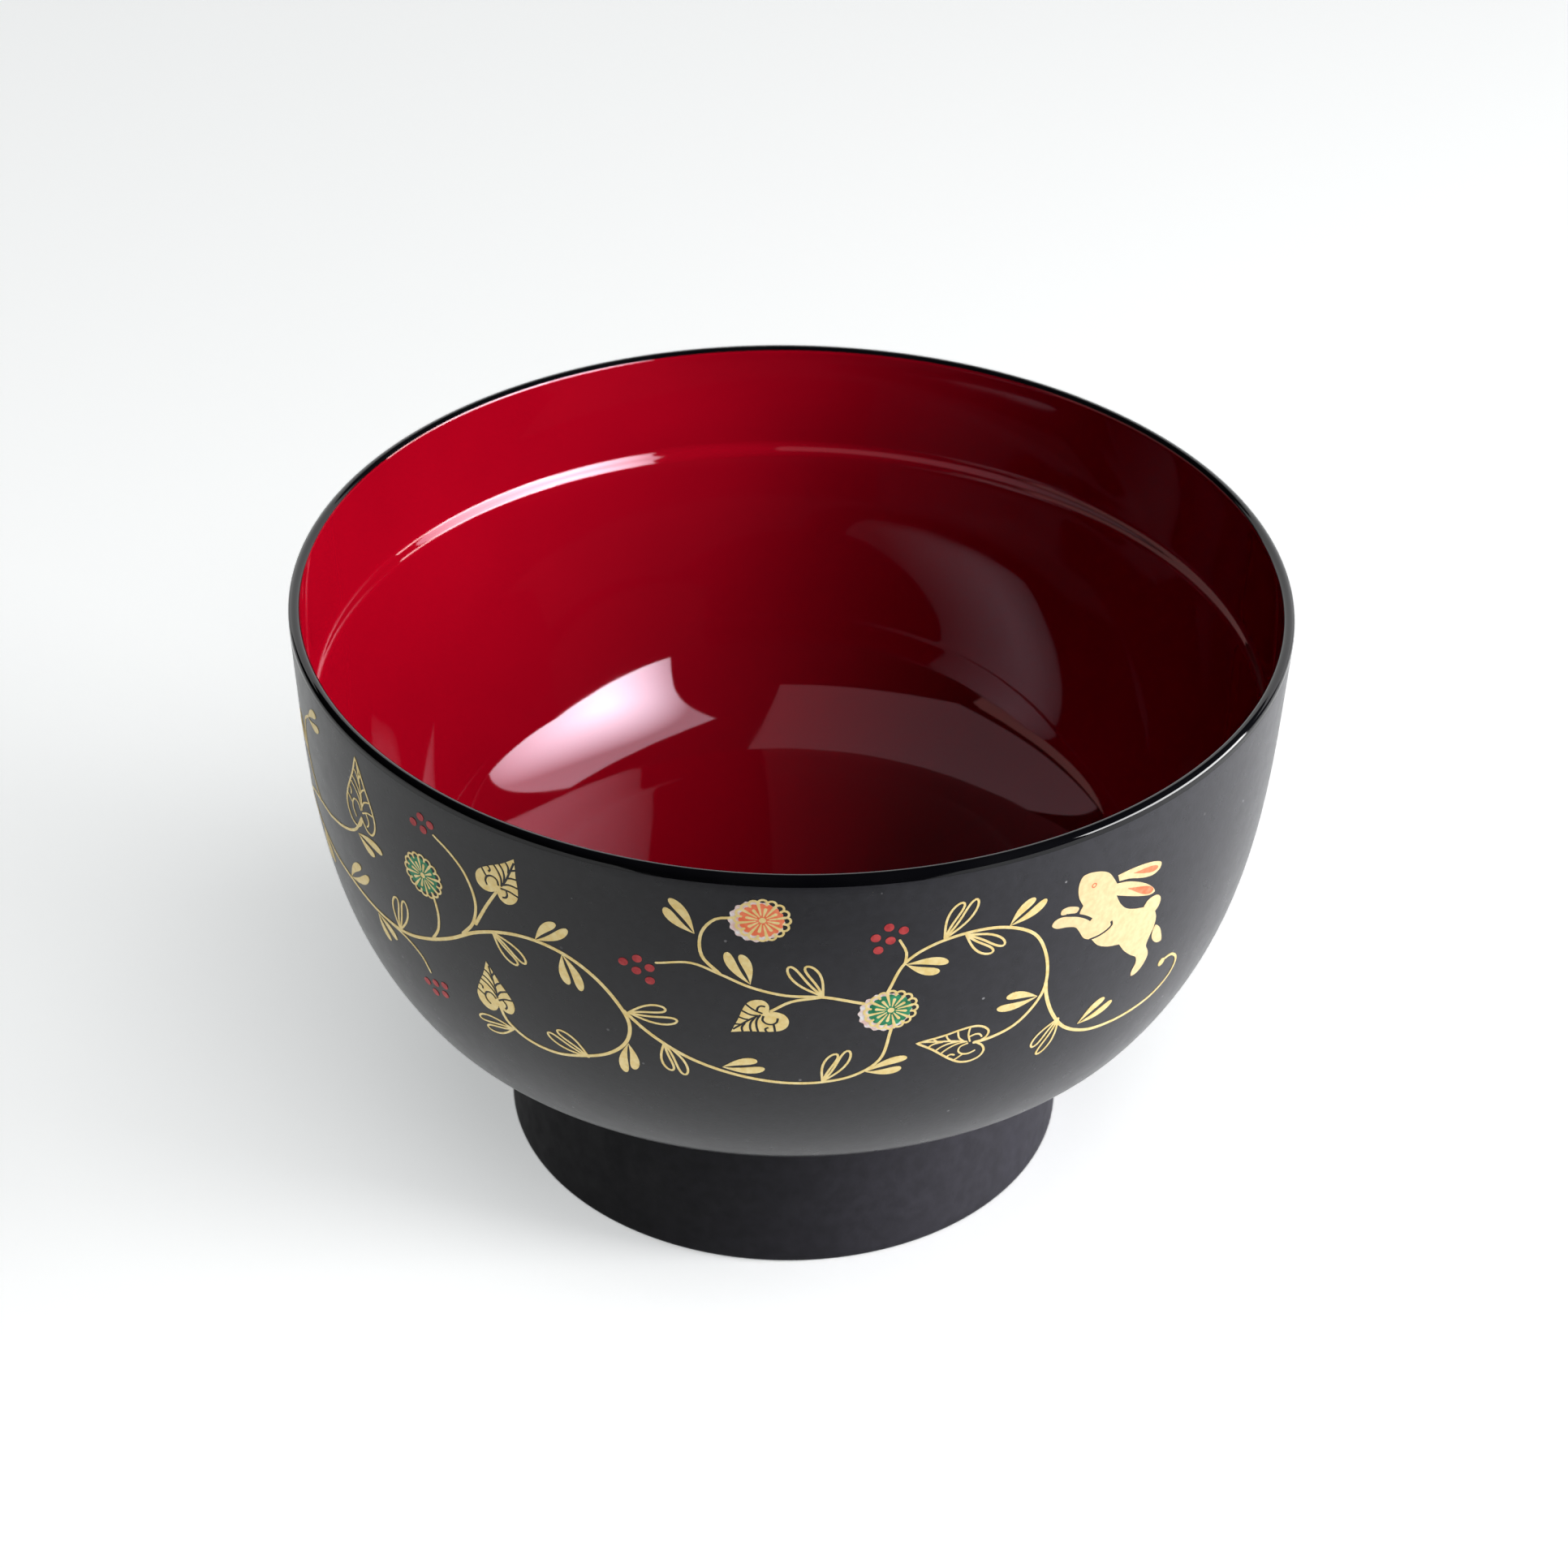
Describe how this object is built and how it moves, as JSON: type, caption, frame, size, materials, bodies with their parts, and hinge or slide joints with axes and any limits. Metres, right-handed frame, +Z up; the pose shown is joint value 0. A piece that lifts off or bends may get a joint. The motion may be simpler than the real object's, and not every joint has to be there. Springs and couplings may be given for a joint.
{
  "type": "lacquered soup bowl",
  "caption": "Round deep soup bowl on a ring foot: glossy inside with a step below the rim, rounded lip, satin outside with a printed vine.",
  "frame": {"origin": "centre of the foot ring's base, on the plane that the bowl stands on", "axes": "+Z up along the bowl's axis; +X and +Y are level. The printed vine's middle faces -Y"},
  "size_m": [0.116, 0.116, 0.074],
  "materials": {
    "bowl_wood": "turned, hidden under the coats",
    "foot_wood": "turned, hidden under the coat",
    "red_gloss_lacquer": "high gloss",
    "black_satin_lacquer": "satin",
    "black_gloss_lacquer": "high gloss",
    "black_matte_lacquer": "matte",
    "gold_ink": "printed, satin with a metallic powder",
    "pale_gold_ink": "printed, satin",
    "coral_ink": "printed, satin",
    "green_ink": "printed, satin",
    "berry_ink": "printed, satin"
  },
  "bodies": {
    "root": {"bowl_core": "bowl_wood", "foot_ring": "foot_wood", "inner_lacquer": "red_gloss_lacquer", "outer_lacquer": "black_satin_lacquer", "rim_lacquer": "black_gloss_lacquer", "foot_lacquer": "black_matte_lacquer"}
  },
  "joints": []
}
